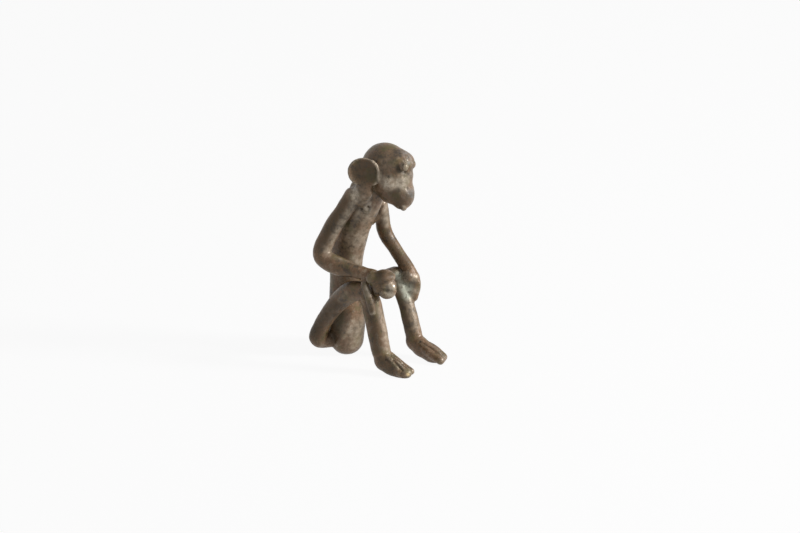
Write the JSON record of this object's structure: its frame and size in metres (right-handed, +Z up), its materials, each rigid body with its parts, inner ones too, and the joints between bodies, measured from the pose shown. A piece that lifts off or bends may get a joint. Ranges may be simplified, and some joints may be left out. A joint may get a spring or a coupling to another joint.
{
  "type": "monkey figurine",
  "caption": "Seated monkey figurine in cast bronze: long rolled limbs, forearms resting on raised knees, big cupped ears and a heavy muzzle.",
  "frame": {"origin": "middle of the bounding box at the surface that the figure sits on", "axes": "+Z up, the monkey faces -Y, its left side is +X"},
  "size_m": [0.0262, 0.0374, 0.0646],
  "materials": {
    "bronze": "patinated cast bronze, semi-matt, worn lighter on the ridges"
  },
  "bodies": {
    "root": {"torso": "bronze", "head": "bronze", "right_thigh": "bronze", "left_thigh": "bronze", "right_shin": "bronze", "left_shin": "bronze", "right_foot": "bronze", "left_foot": "bronze", "right_arm": "bronze", "left_arm": "bronze", "right_hand": "bronze", "left_hand": "bronze", "right_thumb": "bronze", "right_finger_1": "bronze", "right_finger_2": "bronze", "right_finger_3": "bronze", "left_finger_1": "bronze", "left_finger_2": "bronze", "right_ear": "bronze", "right_eye": "bronze", "right_nipple": "bronze", "left_ear": "bronze", "left_eye": "bronze", "left_nipple": "bronze", "lower_lip": "bronze"}
  },
  "joints": []
}
